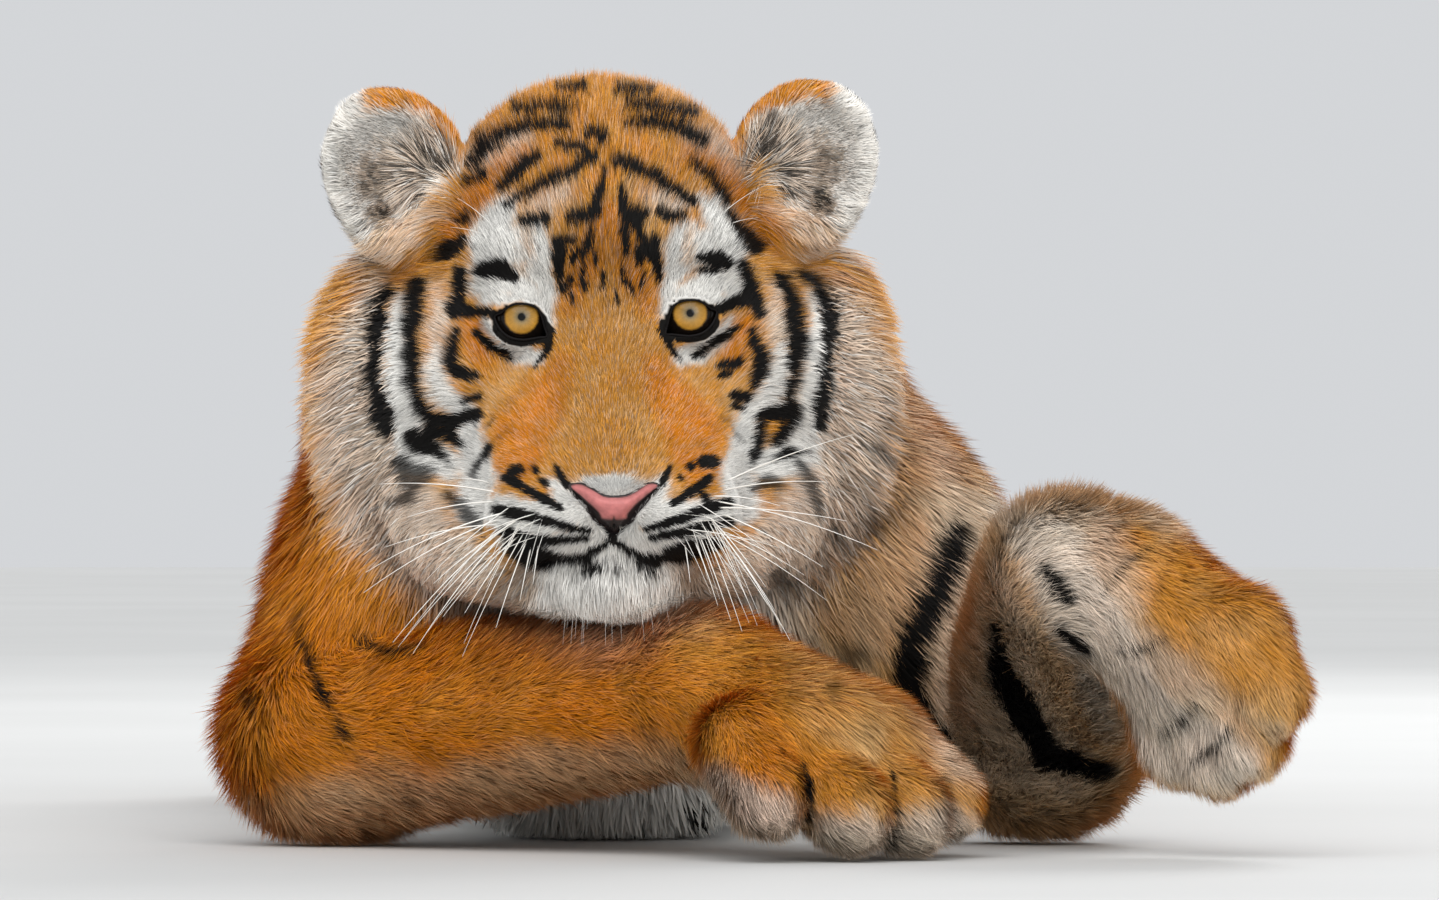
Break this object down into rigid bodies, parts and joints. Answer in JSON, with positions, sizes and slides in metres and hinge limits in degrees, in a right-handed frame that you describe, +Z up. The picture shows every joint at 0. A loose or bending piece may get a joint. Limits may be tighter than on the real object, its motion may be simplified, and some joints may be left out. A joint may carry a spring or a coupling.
{
  "type": "siberian tiger model",
  "caption": "Life-size still model of a young Siberian tiger lying on its belly, right forearm across its front, left paw raised and hanging, tail curled on the floor.",
  "frame": {"origin": "middle of the bounding box, on the floor", "axes": "+X to the tiger's left, +Y from its face to its tail, +Z up"},
  "size_m": [0.6036, 1.5574, 0.4211],
  "materials": {
    "orange": "orange coat with black stripes",
    "cream": "long pale hair in the ears",
    "white": "white chin hair",
    "nose_skin": "bare pink nose skin, slightly moist",
    "eye": "glossy amber eye"
  },
  "bodies": {
    "root": {"nose": "nose_skin", "ear_right": "cream", "ear_left": "cream", "lower_jaw": "white", "muzzle": "orange", "paw_right": "orange", "paw_left": "orange", "forearm_right": "orange", "forearm_left": "orange", "foot_right": "orange", "foot_left": "orange", "shank_right": "orange", "shank_left": "orange", "tail_tip": "orange", "tail_middle": "orange", "tail_base": "orange", "upper_arm_right": "orange", "upper_arm_left": "orange", "thigh_right": "orange", "thigh_left": "orange", "head": "orange", "neck": "orange", "hips": "orange", "chest": "orange", "belly": "orange", "eye_right": "eye", "eye_left": "eye"}
  },
  "joints": []
}
